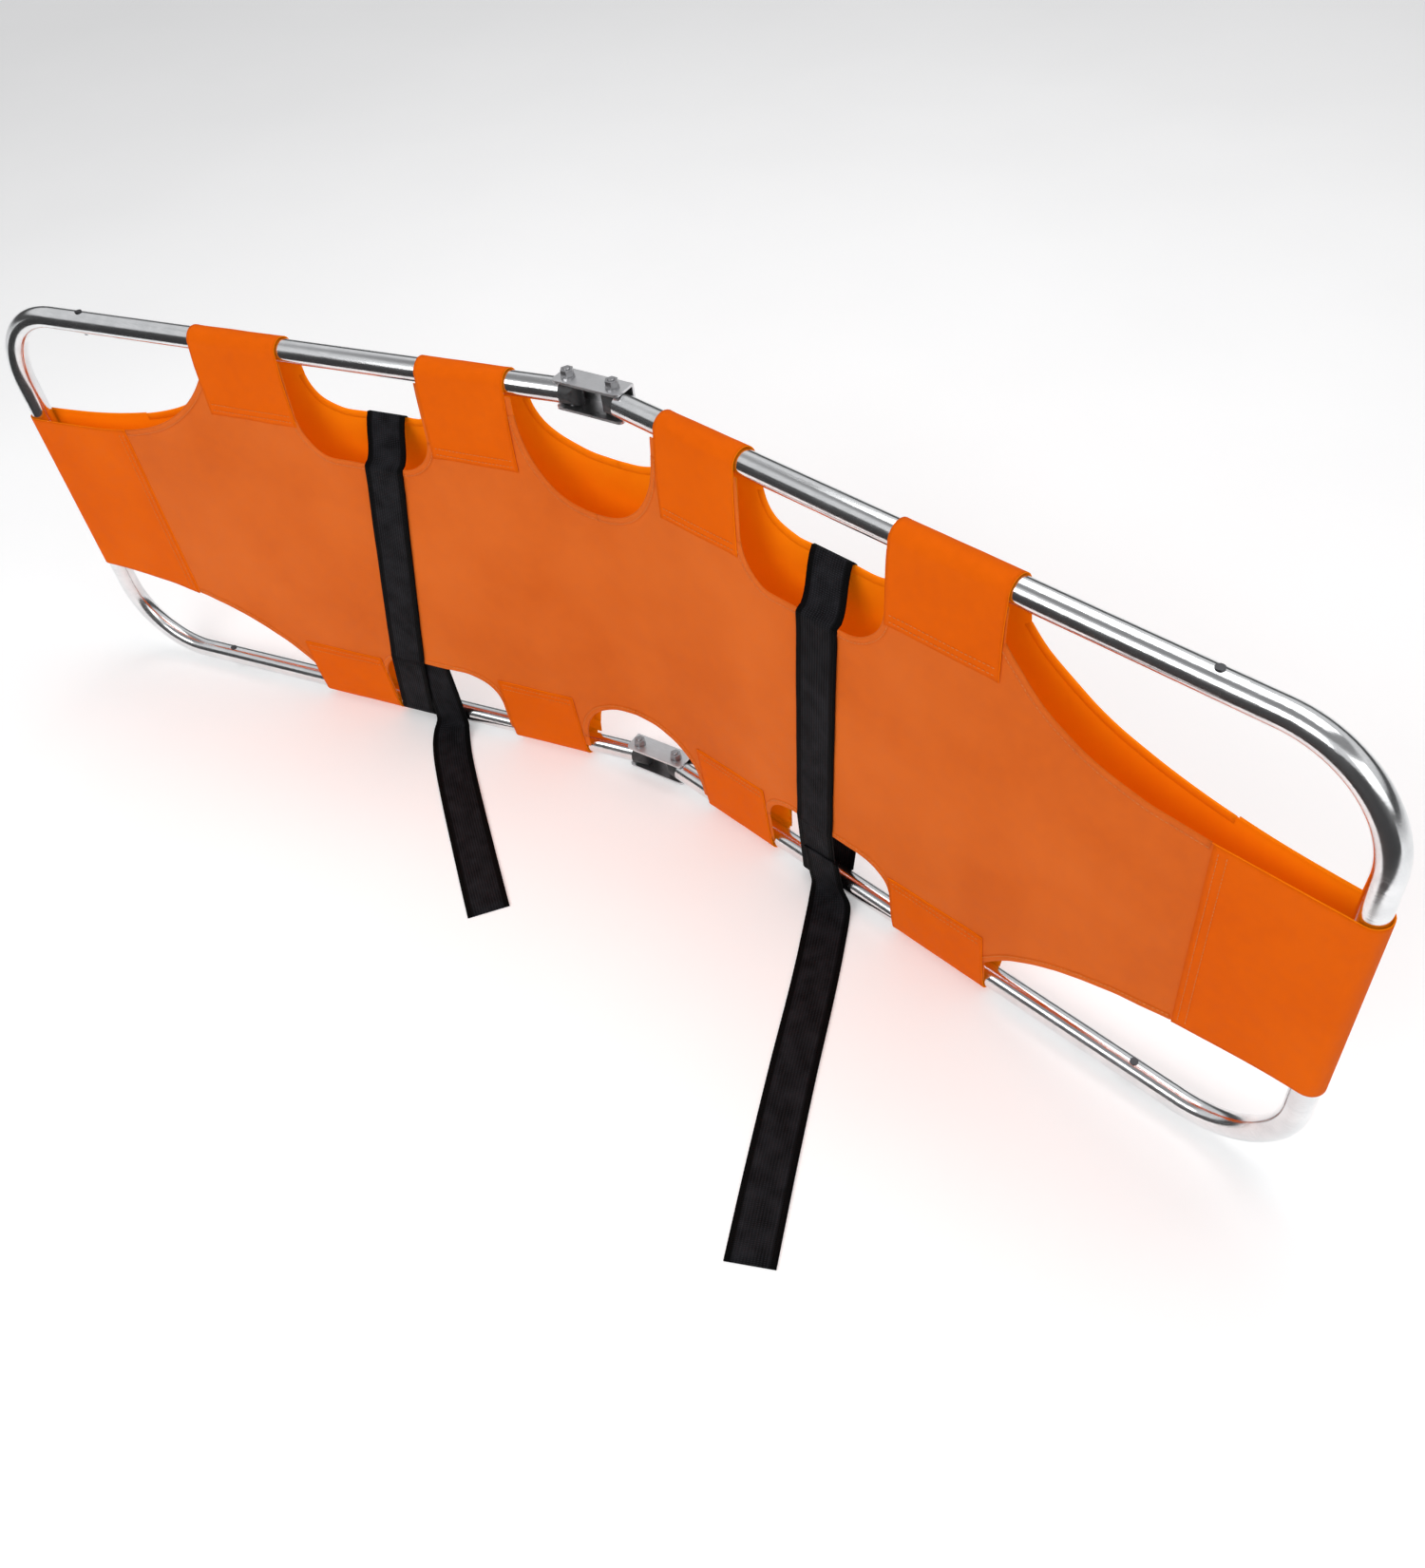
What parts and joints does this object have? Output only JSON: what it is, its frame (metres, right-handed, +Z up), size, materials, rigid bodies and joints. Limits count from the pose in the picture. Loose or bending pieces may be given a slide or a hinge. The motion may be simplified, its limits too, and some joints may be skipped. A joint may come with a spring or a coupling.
{
  "type": "folding stretcher",
  "caption": "Folding pole stretcher: tube frame hinged at mid-length, orange cloth bed sewn round the rails, webbing straps, part folded and standing on one long edge.",
  "frame": {"origin": "on the floor, under the middle of the box that the part folded stretcher fills", "axes": "+X along its length, +Z up across its width, -Y towards the side a casualty lies on"},
  "size_m": [1.8234, 0.5658, 0.6065],
  "materials": {
    "tube_aluminium": "polished",
    "bracket_metal": "satin",
    "fastener_steel": "zinc plated",
    "rivet_dark": "dark",
    "plug_plastic": "moulded",
    "bed_cloth": "coated oxford weave",
    "webbing": "flat woven"
  },
  "bodies": {
    "brackets": {"upper_bracket": "bracket_metal", "lower_bracket": "bracket_metal", "upper_left_bolt": "fastener_steel", "upper_right_bolt": "fastener_steel", "lower_left_bolt": "fastener_steel", "lower_right_bolt": "fastener_steel", "upper_washers": "fastener_steel", "lower_washers": "fastener_steel", "upper_nuts": "fastener_steel", "lower_nuts": "fastener_steel", "bed_centre_front": "bed_cloth", "bed_centre_back": "bed_cloth"},
    "left_half": {"left_upper_rail": "tube_aluminium", "left_lower_rail": "tube_aluminium", "left_end_bow": "tube_aluminium", "left_corner_rivets": "rivet_dark", "left_upper_end_plug": "plug_plastic", "left_lower_end_plug": "plug_plastic", "left_bed_front": "bed_cloth", "left_bed_back": "bed_cloth", "left_end_sleeve": "bed_cloth", "left_upper_inner_sleeve": "bed_cloth", "left_upper_outer_sleeve": "bed_cloth", "left_lower_inner_sleeve": "bed_cloth", "left_lower_outer_sleeve": "bed_cloth", "left_strap": "webbing", "left_strap_tail": "webbing"},
    "right_half": {"right_upper_rail": "tube_aluminium", "right_lower_rail": "tube_aluminium", "right_end_bow": "tube_aluminium", "right_corner_rivets": "rivet_dark", "right_upper_end_plug": "plug_plastic", "right_lower_end_plug": "plug_plastic", "right_bed_front": "bed_cloth", "right_bed_back": "bed_cloth", "right_end_sleeve": "bed_cloth", "right_upper_inner_sleeve": "bed_cloth", "right_upper_outer_sleeve": "bed_cloth", "right_lower_inner_sleeve": "bed_cloth", "right_lower_outer_sleeve": "bed_cloth", "right_strap": "webbing", "right_strap_tail": "webbing"}
  },
  "joints": [
    {"name": "left_fold", "type": "hinge", "parent": "brackets", "child": "left_half", "pos_m": [-0.02498, 0.26522, 0.2999], "axis": [0, 0, 1], "range_deg": [-9, 79], "deforming": ["left_strap_tail"]},
    {"name": "right_fold", "type": "hinge", "parent": "brackets", "child": "right_half", "pos_m": [0.03502, 0.26522, 0.2999], "axis": [0, 0, -1], "range_deg": [-12.5, 75.5], "deforming": ["right_strap_tail"]}
  ]
}
